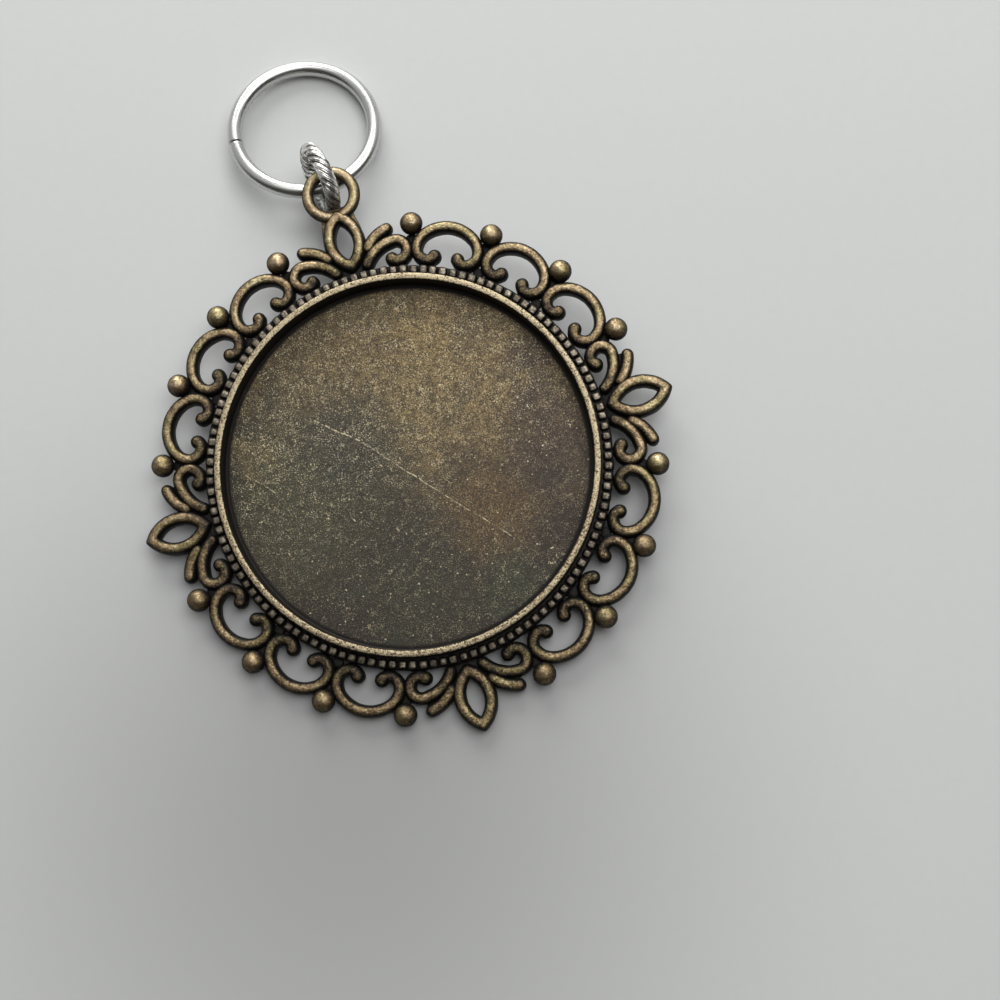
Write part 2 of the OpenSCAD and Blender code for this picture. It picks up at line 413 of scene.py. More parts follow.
class Graph:
    """Builds the nodes of one procedural material."""

    def __init__(self, name: str) -> None:
        """Start a material with an empty Principled shader.

        Args:
            name: The material's name.
        """
        self.material = bpy.data.materials.new(name)
        self.material.use_nodes = True
        self.tree = self.material.node_tree
        self.tree.nodes.clear()
        self.shader = self.node("ShaderNodeBsdfPrincipled")
        output = self.node("ShaderNodeOutputMaterial")
        self.tree.links.new(self.shader.outputs["BSDF"], output.inputs["Surface"])
        self.place = self.node("ShaderNodeTexCoord").outputs["Object"]

    def node(self, kind: str, **settings: object) -> bpy.types.Node:
        """Add a node.

        Args:
            kind: The node's type.
            **settings: The node's own values by name.

        Returns:
            The new node.
        """
        made = self.tree.nodes.new(kind)
        for key, value in settings.items():
            setattr(made, key, value)
        return made

    def feed(self, socket: Socket, value: object) -> None:
        """Link an output to a socket, or set the socket's own value.

        Args:
            socket: The input.
            value: An output or a plain value.
        """
        if isinstance(value, Socket):
            self.tree.links.new(value, socket)
        else:
            socket.default_value = value

    def math(self, operation: str, *values: object, clamp: bool = False) -> Socket:
        """Combine numbers.

        Args:
            operation: The Math node's operation.
            *values: Numbers or outputs.
            clamp: Whether the result is kept between 0 and 1.

        Returns:
            The result's output.
        """
        made = self.node("ShaderNodeMath", operation=operation, use_clamp=clamp)
        for socket, value in zip(made.inputs, values):
            self.feed(socket, value)
        return made.outputs[0]

    def fold(self, operation: str, *values: object) -> Socket:
        """Combine any number of values in order with one operation."""
        return reduce(lambda first, second: self.math(operation, first, second), values)

    def times(self, *values: object) -> Socket:
        """Multiply values in order."""
        return self.fold("MULTIPLY", *values)

    def sway(self, source: Socket, width: float) -> Socket:
        """Centre noise on zero and scale its range from 1 to a width."""
        return self.times(self.math("SUBTRACT", source, 0.5), width)

    def mottled(self, level: Socket, *layers: tuple[Socket, float]) -> Socket:
        """Add layers of noise to a level, each centred on zero and scaled to its own width."""
        return self.fold("ADD", level, *(self.sway(source, width) for source, width in layers))

    def vector(self, operation: str, *values: object) -> bpy.types.NodeOutputs:
        """Combine vectors.

        Args:
            operation: The Vector Math node's operation.
            *values: Vectors or outputs.

        Returns:
            The outputs, of which Vector or Value holds the result.
        """
        made = self.node("ShaderNodeVectorMath", operation=operation)
        for socket, value in zip(made.inputs, values):
            self.feed(socket, value)
        return made.outputs

    def dot(self, vector: object, direction: Sequence[float]) -> Socket:
        """Measure a vector along a fixed direction."""
        return self.vector("DOT_PRODUCT", vector, direction)["Value"]

    def distance(self, point: Vector) -> Socket:
        """Measure the distance from a fixed point, in metres."""
        return self.vector("DISTANCE", self.place, point)["Value"]

    def in_mm(self, value: Socket) -> Socket:
        """Turn metres into millimetres."""
        return self.times(value, 1 / MM)

    def span(
        self, value: object, low: float, high: float, start: float = 0, end: float = 1
    ) -> Socket:
        """Map a range of values smoothly to another range.

        Args:
            value: The number.
            low: The value that becomes start.
            high: The value that becomes end.
            start: The result at low.
            end: The result at high.

        Returns:
            The result's output.
        """
        made = self.node("ShaderNodeMapRange", interpolation_type="SMOOTHSTEP")
        for socket, item in zip(made.inputs, (value, low, high, start, end)):
            self.feed(socket, item)
        return made.outputs["Result"]

    def noise(
        self, size: float, detail: float = 3, roughness: float = 0.55, vector: object = None
    ) -> Socket:
        """Make noise with features of a given size.

        Args:
            size: The size of the features in millimetres.
            detail: The number of finer layers.
            roughness: The strength of the finer layers.
            vector: The coordinates, or None for the object's own.

        Returns:
            The noise's output, from 0 to 1.
        """
        made = self.node("ShaderNodeTexNoise")
        self.feed(made.inputs["Vector"], vector or self.place)
        made.inputs["Scale"].default_value = 1 / (size * MM)
        made.inputs["Detail"].default_value = detail
        made.inputs["Roughness"].default_value = roughness
        return made.outputs["Fac"]

    def ramp(self, value: object, stops: Sequence[float], colours: Sequence[Colour]) -> Socket:
        """Turn a number into a colour.

        Args:
            value: The number from 0 to 1.
            stops: The places of the colours, in order from 0 to 1.
            colours: One colour for each stop.

        Returns:
            The colour's output.
        """
        made = self.node("ShaderNodeValToRGB")
        while len(made.color_ramp.elements) < len(stops):
            made.color_ramp.elements.new(1)
        for element, place, colour in zip(made.color_ramp.elements, stops, colours):
            element.position = place
            element.color = (*colour, 1)
        self.feed(made.inputs[0], value)
        return made.outputs["Color"]

    def mix(self, share: object, first: object, second: object, blend: str = "MIX") -> Socket:
        """Mix two colours.

        Args:
            share: The share of the second colour.
            first: A colour or output.
            second: A colour or output.
            blend: The Mix node's blend type.

        Returns:
            The mixed colour's output.
        """
        made = self.node("ShaderNodeMix", data_type="RGBA", blend_type=blend)
        self.feed(made.inputs[0], share)
        for socket, value in ((made.inputs[6], first), (made.inputs[7], second)):
            self.feed(socket, (*value, 1) if isinstance(value, tuple) else value)
        return made.outputs[2]

    def height(self) -> Socket:
        """The height above the casting's back, in millimetres."""
        return self.in_mm(self.math("SUBTRACT", self.dot(self.place, REST.up), REST.back_height))

    def radius(self) -> Socket:
        """The distance from the casting's axis, in millimetres.

        Returns:
            The distance's output.
        """
        offset = self.vector("SUBTRACT", self.place, REST.matrix.translation)["Vector"]
        across = self.vector("CROSS_PRODUCT", offset, REST.up)["Vector"]
        return self.in_mm(self.vector("LENGTH", across)["Value"])

    def upwards(self) -> Socket:
        """How far towards the far side of the casting, from 0 at its near edge to 1."""
        return self.span(self.dot(self.place, AWAY), *NEAR_TO_FAR)

    def facing(self) -> Socket:
        """How far the surface faces away from the casting's back, from -1 to 1."""
        return self.dot(self.node("ShaderNodeNewGeometry").outputs["Normal"], REST.up)

    def openness(self, reach: float) -> Socket:
        """How open the surface is to its surroundings, from 0 in a crevice to 1.

        Args:
            reach: How far away other surfaces count, in millimetres.

        Returns:
            The openness's output.
        """
        made = self.node("ShaderNodeAmbientOcclusion", samples=8)
        made.inputs["Distance"].default_value = reach * MM
        return made.outputs["AO"]

    def bump(self, height: object, depth: float, strength: float = 1) -> None:
        """Give the shader a bump.

        Args:
            height: The relief from 0 to 1.
            depth: The depth of the full relief in millimetres.
            strength: The share of the bump that shows.
        """
        made = self.node("ShaderNodeBump")
        made.inputs["Strength"].default_value = strength
        made.inputs["Distance"].default_value = depth * MM
        self.feed(made.inputs["Height"], height)
        self.feed(self.shader.inputs["Normal"], made.outputs["Normal"])

    def dress(self, colour: object, metallic: object, roughness: object) -> Material:
        """Feed the shader and give back the material.

        Args:
            colour: The base colour.
            metallic: The metallic share.
            roughness: The roughness.

        Returns:
            The finished material.
        """
        for name, value in (("Base Color", colour), ("Metallic", metallic), ("Roughness", roughness)):
            self.feed(self.shader.inputs[name], value)
        return self.material


@dataclass(frozen=True)
class AgedBronze:
    """Blackened bronze, worn to tan gold where hands and cloth reach.

    Painted shade darkens it towards the near side. Heights, radii, sizes and depths are in millimetres.
    """

    name: str
    low: float = 0.9
    high: float = 1.75
    reach: float = 0.6
    glint: Colour = (0.70, 0.60, 0.43)
    worn: Colour = (0.45, 0.345, 0.21)
    rubbed: Colour = (0.235, 0.17, 0.095)
    brown: Colour = (0.07, 0.049, 0.029)
    black: Colour = (0.008, 0.0065, 0.005)
    green: Colour = (0.90, 0.98, 0.88)
    stops: tuple[float, ...] = (0.0, 0.18, 0.34, 0.57, 0.82, 1.0)
    wear: float = 0.0
    side: float = 0.56
    inner: float = 0.62
    # The share of wear kept at the near side; the rest is taken away as painted shade
    near: float = 0.8
    grain: float = 1.0
    strength: float = 0.7
    outskirts: Point = (22.6, 25.2)
    open_share: Point = (0.3, 0.95)
    patch_size: float = 1.3
    patch_share: float = 0.55
    blotch_size: float = 0.42
    blotch_share: float = 0.7
    fleck_size: float = 0.2
    fleck_share: float = 0.95
    tint_size: float = 3.4
    relief: float = 0.06
    dull: float = 0.54
    polished: float = 0.33

    def make(self) -> Material:
        """Build the material.

        Returns:
            The finished material.
        """
        graph = Graph(self.name)
        height = graph.span(graph.height(), self.low, self.high)
        facing = graph.span(graph.facing(), self.side, 1.0)
        open_air = graph.span(graph.openness(self.reach), *self.open_share)
        # Less wear towards the bead ring, times painted shade: less wear, and so darker colour, towards
        # the near side
        outwards = graph.times(
            graph.span(graph.radius(), *self.outskirts, self.inner, 1),
            graph.span(graph.upwards(), 0, 1, self.near, 1),
        )
        patches = graph.noise(self.patch_size, 3)
        blotches = graph.noise(self.blotch_size, 3, 0.6)
        flecks = graph.noise(self.fleck_size, 2, 0.7)
        wear = graph.mottled(
            graph.times(facing, height, self.strength, open_air, outwards),
            (patches, self.patch_share),
            (blotches, self.blotch_share * self.grain),
            (flecks, self.fleck_share * self.grain),
        )
        wear = graph.math("ADD", wear, self.wear, clamp=True)
        tones = (self.black, self.black, self.brown, self.rubbed, self.worn, self.glint)
        colour = graph.ramp(wear, self.stops, tones)
        tint = graph.span(graph.noise(self.tint_size, 2), 0.44, 0.62)
        colour = graph.mix(tint, colour, self.green, "MULTIPLY")
        graph.bump(graph.math("ADD", graph.times(flecks, 0.8), blotches), self.relief)
        metallic = graph.span(wear, 0.15, 0.6, 0.5, 1.0)
        roughness = graph.span(wear, 0.3, 0.95, self.dull, self.polished)
        return graph.dress(colour, metallic, roughness)


@dataclass(frozen=True)
class WornRim:
    """The rim's flat top, worn bright, over dark walls.

    Painted shade darkens the worn top towards the near side. Heights, sizes and depths are in
    millimetres.
    """

    name: str
    top: float = 3.0
    fade: float = 0.25
    # How strongly the top is worn at the near side and at the far side; the difference is painted shade
    # on the near side
    strength: Point = (0.72, 0.82)
    worn: Colour = (0.52, 0.437, 0.29)
    pit: Colour = (0.14, 0.10, 0.055)
    dark: Colour = (0.010, 0.007, 0.005)
    stops: tuple[float, ...] = (0.0, 0.3, 0.55, 0.85)
    patch_size: float = 1.8
    patch_share: float = 0.3
    blotch_size: float = 0.36
    blotch_share: float = 0.8
    grain_size: float = 0.19
    grain_share: float = 1.8
    relief: float = 0.045
    dull: float = 0.6
    polished: float = 0.46

    def make(self) -> Material:
        """Build the material.

        Returns:
            The finished material.
        """
        graph = Graph(self.name)
        facing = graph.span(graph.facing(), 0.35, 0.95)
        height = graph.span(graph.height(), self.top - self.fade, self.top + self.fade)
        patches = graph.noise(self.patch_size, 4)
        blotches = graph.noise(self.blotch_size, 3, 0.6)
        grain = graph.noise(self.grain_size, 2, 0.7)
        # The worn top, with painted shade towards the near side
        worn = graph.mottled(
            graph.times(facing, height, graph.span(graph.upwards(), 0, 1, *self.strength)),
            (patches, self.patch_share),
            (blotches, self.blotch_share),
            (grain, self.grain_share),
        )
        worn = graph.math("ADD", worn, 0, clamp=True)
        tones = (self.dark, self.dark, self.pit, self.worn)
        colour = graph.ramp(worn, self.stops, tones)
        graph.bump(graph.math("ADD", grain, blotches), self.relief)
        metallic = graph.span(worn, 0.1, 0.6, 0.4, 0.95)
        roughness = graph.span(worn, 0.3, 1.0, self.dull, self.polished)
        return graph.dress(colour, metallic, roughness)


@dataclass(frozen=True)
class Scratch:
    """A thin bright line in the tray's floor, in the casting's millimetres."""

    start: Point
    end: Point
    width: float = 0.09


@dataclass(frozen=True)
class Stain:
    """A soft patch of another tone in the tray's floor, in the casting's millimetres."""

    place: Point
    radius: float
    tone: Colour
    share: float


@dataclass(frozen=True)
class BlastedFloor:
    """The tray's matt floor: mottled brown, olive and grey-green with bright specks."""

    name: str
    golden: Colour = (0.41, 0.295, 0.125)
    olive: Colour = (0.105, 0.105, 0.062)
    brown: Colour = (0.15, 0.105, 0.072)
    grey: Colour = (0.05, 0.06, 0.052)
    # A dark tone for the painted shade and for the floor's own mottle and grain
    shade: Colour = (0.04, 0.031, 0.026)
    speck: Colour = (0.72, 0.62, 0.40)
    wall_foot_shade_tone: Colour = (0.010, 0.007, 0.005)
    scratches: tuple[Scratch, ...] = (
        Scratch((-8.6, 7.8), (-3.7, 3.4), 0.12),
        Scratch((-3.7, 3.4), (1.4, -2.7), 0.1),
        Scratch((1.4, -2.7), (8.6, -10.7), 0.08),
        Scratch((-17.3, 4.1), (-14.5, 1.1), 0.08),
    )
    stains: tuple[Stain, ...] = (
        Stain((-5.2, 12.6), 10, (0.235, 0.165, 0.082), 0.6),
        Stain((-5.9, 4.8), 6, (0.045, 0.054, 0.052), 0.7),
        Stain((-14.4, -3.1), 8, (0.098, 0.096, 0.055), 0.7),
        Stain((-3.0, -13.7), 8.5, (0.058, 0.062, 0.040), 0.8),
        Stain((6.8, -7.2), 6, (0.20, 0.13, 0.055), 0.65),
        Stain((16.2, -1.6), 7, (0.095, 0.068, 0.052), 0.6),
        Stain((6.8, -16.0), 4, (0.075, 0.088, 0.055), 0.7),
    )
    wall_foot_shade: Point = (19.25, 19.65)
    speck_share: float = 0.92
    relief: float = 0.07
    metallic: float = 0.5
    matt: float = 0.58
    shiny: float = 0.38

    @staticmethod
    def line(graph: Graph, scratch: Scratch) -> Socket:
        """Draw one scratch.

        Args:
            graph: The material's nodes.
            scratch: The scratch.

        Returns:
            Its strength, from 0 to 1.
        """
        begin, end = REST.on_floor(scratch.start), REST.on_floor(scratch.end)
        length, along = (end - begin).length, (end - begin).normalized()
        across = along.cross(REST.up)
        offset = graph.math("SUBTRACT", graph.dot(graph.place, across), across.dot(begin))
        wander = graph.sway(graph.noise(2.5, 2), 0.5 * MM)
        offset = graph.math("ABSOLUTE", graph.math("ADD", offset, wander))
        thin = graph.span(offset, 0, scratch.width * MM, 1, 0)
        run = graph.math("SUBTRACT", graph.dot(graph.place, along), along.dot(begin))
        begun = graph.span(run, -0.2 * MM, 0.4 * MM)
        ended = graph.span(run, length - 0.4 * MM, length + 0.2 * MM, 1, 0)
        broken = graph.span(graph.noise(0.36, 3, 0.65), 0.4, 0.62)
        return graph.times(thin, broken, graph.times(begun, ended))

    @staticmethod
    def patch(graph: Graph, stain: Stain, ripple: Socket) -> Socket:
        """Measure how strongly one stain covers a place.

        Args:
            graph: The material's nodes.
            stain: The stain.
            ripple: What is added to the distance, which breaks up the stain's edge.

        Returns:
            Its strength, from 0 to its share.
        """
        outer, core = stain.radius * 1.3 * MM, stain.radius * 0.3 * MM
        reach = graph.math("ADD", graph.distance(REST.on_floor(stain.place)), ripple)
        return graph.span(reach, outer, core, 0, stain.share)

    def ground(
        self, graph: Graph, upwards: Socket, right: Socket, dim: Socket, edge: Socket
    ) -> Socket:
        """Lay the floor's broad tones and its stains.

        Args:
            graph: The material's nodes.
            upwards: How far a place lies towards the far side, in millimetres.
            right: How far it lies to the right, in millimetres.
            dim: How deep it lies in the painted shade on the near side and the right, from 0 to 1.
            edge: How near it lies to the wall, from 0 to 1.

        Returns:
            The colour.
        """
        colour = graph.mix(graph.span(right, -8, 10), self.olive, self.brown)
        # Painted light: lighter and golden towards the far side's middle
        across = graph.span(graph.math("ABSOLUTE", right), 17, 1)
        painted_far_light = graph.times(graph.span(upwards, -6, 15), across)
        gilt = graph.span(graph.noise(7.5, 3), 0.5, 0.66, 0, 0.5)
        tarnish = graph.span(graph.noise(5, 4, 0.6), 0.47, 0.62)
        # Painted shade on the near right and along the wall, and painted light on the far side's middle;
        # the gilt and tarnish patches are the floor's own tones
        for share, tone in (
            (graph.times(dim, 0.75), self.shade),
            (graph.times(painted_far_light, 0.8), self.golden),
            (graph.times(edge, 0.45), self.shade),
            (graph.times(gilt, graph.span(upwards, -8, 4)), self.golden),
            (graph.times(tarnish, graph.span(right, 8, -10, 0.3, 0.6)), self.grey),
        ):
            colour = graph.mix(share, colour, tone)
        ripple = graph.sway(graph.noise(3.2, 4, 0.6), 9 * MM)
        for stain in self.stains:
            colour = graph.mix(self.patch(graph, stain, ripple), colour, stain.tone)
        return colour

    def glints(self, graph: Graph, fine: Socket, dim: Socket) -> Socket:
        """Scatter bright specks, glitter, thin curls and the scratches.

        Args:
            graph: The material's nodes.
            fine: The finest grain, which carries the specks.
            dim: How deep a place lies in the painted shade on the near side and the right, from 0 to 1.

        Returns:
            Their strength, from 0 to 1.
        """
        crowd = graph.sway(graph.noise(1.1, 3), 0.34)
        specks = graph.span(graph.math("ADD", fine, crowd), 0.53, 0.78)
        # Fewer specks show in the painted shade
        specks = graph.times(specks, graph.span(dim, 0, 1, 0.92, 0.4))
        glitter = graph.span(graph.noise(0.42, 2, 0.5), 0.68, 0.75, 0, 0.8)
        contour = graph.math("ABSOLUTE", graph.math("SUBTRACT", graph.noise(1.5, 4, 0.7), 0.5))
        curls = graph.times(
            graph.span(contour, 0.016, 0.004),
            graph.span(graph.noise(0.7, 2), 0.56, 0.64),
            graph.span(graph.noise(4, 2), 0.5, 0.62, 0.1, 0.8),
        )
        lines = [self.line(graph, scratch) for scratch in self.scratches]
        return graph.fold("MAXIMUM", specks, glitter, curls, *lines)

    def make(self) -> Material:
        """Build the material.

        Returns:
            The finished material.
        """
        graph = Graph(self.name)
        offset = graph.vector("SUBTRACT", graph.place, REST.on_floor((0, 0)))["Vector"]
        out = graph.in_mm(graph.vector("LENGTH", offset)["Value"])
        drift = graph.sway(graph.noise(9, 3), 14)
        upwards = graph.math("ADD", graph.in_mm(graph.dot(offset, AWAY)), drift)
        right = graph.math("ADD", graph.in_mm(graph.dot(offset, RIGHTWARDS)), drift)
        # Painted shade: darker towards the near side and the right
        dim = graph.span(graph.math("SUBTRACT", upwards, graph.times(right, 0.5)), 8, -10)
        # Painted shade: darker towards the wall
        edge = graph.span(graph.math("ADD", out, graph.times(drift, 0.25)), 14, 20)
        colour = self.ground(graph, upwards, right, dim, edge)
        # The mottle and fine grain are the floor's own, darkened with the same tone as the painted shade
        mottle = graph.noise(0.5, 4, 0.75)
        colour = graph.mix(graph.span(mottle, 0.4, 0.62, 0, 0.65), colour, self.shade)
        fine = graph.noise(0.15, 2, 0.6)
        colour = graph.mix(graph.span(fine, 0.53, 0.36, 0, 0.75), colour, self.shade)
        specks = self.glints(graph, fine, dim)
        colour = graph.mix(graph.times(specks, self.speck_share), colour, self.speck)
        # Painted shade: a dark line on the floor at the foot of the wall
        colour = graph.mix(graph.span(out, *self.wall_foot_shade), colour, self.wall_foot_shade_tone)
        graph.bump(graph.math("ADD", fine, graph.times(mottle, 0.5)), self.relief)
        return graph.dress(colour, self.metallic, graph.span(specks, 0, 1, self.matt, self.shiny))


@dataclass(frozen=True)
class DrawnSteel:
    """Bright drawn wire with faint marks across it. Its map runs along the wire.

    Sizes and depths are in millimetres.
    """

    name: str
    bright: Colour = (0.70, 0.70, 0.68)
    dull: Colour = (0.38, 0.38, 0.37)
    stretch: Triple = (1, 0.45, 1)
    mark_size: float = 0.2
    cloud_size: float = 2.2
    relief: float = 0.3

    def make(self) -> Material:
        """Build the material.

        Returns:
            The finished material.
        """
        graph = Graph(self.name)
        mapping = graph.node("ShaderNodeMapping")
        graph.feed(mapping.inputs["Vector"], graph.node("ShaderNodeTexCoord").outputs["UV"])
        graph.feed(mapping.inputs["Scale"], self.stretch)
        marks = graph.noise(self.mark_size, 3, 0.65, mapping.outputs[0])
        clouds = graph.noise(self.cloud_size, 3)
        colour = graph.mix(graph.span(marks, 0.4, 0.7), self.bright, self.dull)
        graph.bump(marks, self.relief)
        cloudy = graph.span(clouds, 0.35, 0.7, 0.22, 0.28)
        roughness = graph.math("ADD", cloudy, graph.span(marks, 0.4, 0.7, 0, 0.14))
        return graph.dress(colour, 1.0, roughness)


@dataclass(frozen=True)
class TwistedSilver:
    """Silver wire, blackened in the grooves between its strands.

    Sizes and depths are in millimetres.
    """

    name: str
    bright: Colour = (0.86, 0.855, 0.83)
    dull: Colour = (0.34, 0.335, 0.315)
    black: Colour = (0.035, 0.03, 0.028)
    stops: Triple = (0.05, 0.35, 0.7)
    grain_size: float = 0.22
    stain_size: float = 1.3
    relief: float = 0.02

    def make(self) -> Material:
        """Build the material.

        Returns:
            The finished material.
        """
        graph = Graph(self.name)
        ridge = graph.node("ShaderNodeAttribute", attribute_name=RIDGE).outputs["Fac"]
        grain = graph.noise(self.grain_size, 4, 0.6)
        stains = graph.times(graph.span(graph.noise(self.stain_size, 3), 0.6, 0.44), -0.65)
        level = graph.math("ADD", ridge, graph.sway(grain, 0.9))
        level = graph.math("ADD", level, graph.math("ADD", stains, 0.2), clamp=True)
        colour = graph.ramp(level, self.stops, (self.black, self.dull, self.bright))
        graph.bump(grain, self.relief, 0.8)
        metallic = graph.span(level, 0, 0.4, 0.5, 1.0)
        return graph.dress(colour, metallic, graph.span(level, 0.2, 0.9, 0.5, 0.2))


@dataclass(frozen=True)
class PalePaper:
    """The pale matt surface under the pendant, softly shaded round one place."""

    name: str = "pale_paper"
    light: Colour = (0.61, 0.62, 0.615)
    dark: Colour = (0.585, 0.595, 0.59)
    # The painted shadow's tone, place and radius
    shade: Colour = (0.385, 0.39, 0.385)
    shade_place: Point = (-16, -43)
    shade_radius: float = 62.0
    grain_size: float = 1.2
    relief: float = 0.02
    roughness: float = 0.85

    def make(self) -> Material:
        """Build the material.

        Returns:
            The finished material.
        """
        graph = Graph(self.name)
        grain = graph.noise(self.grain_size, 4)
        # Painted shadow: the paper grows darker towards one place on the near side
        away = graph.distance(Vector((*self.shade_place, 0)) * MM)
        shaded = graph.span(away, self.shade_radius * MM, 0)
        colour = graph.mix(shaded, graph.mix(grain, self.light, self.dark), self.shade)
        graph.bump(grain, self.relief, 0.3)
        return graph.dress(colour, 0.0, self.roughness)


@dataclass
class Band:
    """A cast band swept along arcs, with a half-round section and round ends."""

    width: float
    height: float = 1.7
    step: float = 8.0
    profile: tuple[Point, ...] = (
        (0, 0),
        (0.9, 0),
        (1.0, 0.08),
        (1.0, 0.48),
        (0.985, 0.62),
        (0.88, 0.79),
        (0.66, 0.92),
        (0.34, 0.985),
        (0, 1.0),
    )
    cap_steps: int = 8
    knob_reach: float = 1.35
    knob_length: float = 1.1

    @property
    def half(self) -> float:
        """Half of the band's width in metres."""
        return self.width / 2 * MM

    def section(self) -> list[Point]:
        """Close the section: outward offset and height, in metres, from the bottom's middle.

        Returns:
            The section's points.
        """
        right = [(share * self.half, level * self.height * MM) for share, level in self.profile]
        left = [(-offset, level) for offset, level in reversed(right[1:-1])]
        return right + left

    def sweep(self, name: str, arcs: Sequence[Arc], caps: Sequence[bool]) -> Piece:
        """Sweep the section along arcs that follow each other.

        Args:
            name: The new object's name.
            arcs: The arcs in travel order, all turning the same way.
            caps: Whether the first and the last end are closed round.

        Returns:
            The swept band.
        """
        first, last = arcs[0], arcs[-1]
        out = first.outward(first.first)
        places = [first.at(first.first) + out * offset + UP * level for offset, level in self.section()]
        obj = Bench.outline(name, places)
        Bench.edit_all(obj)
        for arc in arcs:
            steps = max(2, round(abs(math.degrees(arc.sweep)) / self.step))
            Bench.spin(arc.centre, arc.sweep, steps)
        turn = math.copysign(math.pi, last.sweep)
        if caps[1]:
            self.cap(obj, last, last.last, turn)
        if caps[0]:
            self.cap(obj, first, first.first, -turn)
        Bench.weld(obj)
        return obj

    def cap(self, obj: Piece, arc: Arc, degrees: float, turn: float) -> None:
        """Close an end with half a turn of the section's outer half.

        Args:
            obj: The band in edit mode.
            arc: The arc at the end.
            degrees: The direction of the end on the arc.
            turn: Half a turn, with the sign that goes round the end.
        """
        end, out = arc.at(degrees), arc.outward(degrees)
        along = UP.cross(out)

        def outer(place: Vector) -> bool:
            """Say whether a vertex is in the end's outer half."""
            offset = place - end
            return abs(offset.dot(along)) < WELD and -WELD < offset.dot(out) < self.width * MM

        Bench.choose(obj, outer)
        Bench.spin(end, turn, self.cap_steps)

    def swell(self, obj: Piece, arc: Arc, degrees: float, onward: float, share: float) -> None:
        """Widen an end to a knob.

        Args:
            obj: The band.
            arc: The arc at the end.
            degrees: The direction of the end on the arc.
            onward: 1 if the band ends anticlockwise on the arc, -1 if clockwise.
            share: How much wider the knob is than the band.
        """
        end = arc.at(degrees)
        along = UP.cross(arc.outward(degrees)) * onward
        for vert in obj.data.vertices:
            offset = vert.co - end
            flat = Vector((offset.x, offset.y, 0))
            if flat.length > self.knob_reach * self.half:
                continue
            ahead = (flat.dot(along) / self.half + self.knob_length) / self.knob_length
            ahead = min(max(ahead, 0), 1)
            vert.co += flat * (share * ahead * ahead * (3 - 2 * ahead))


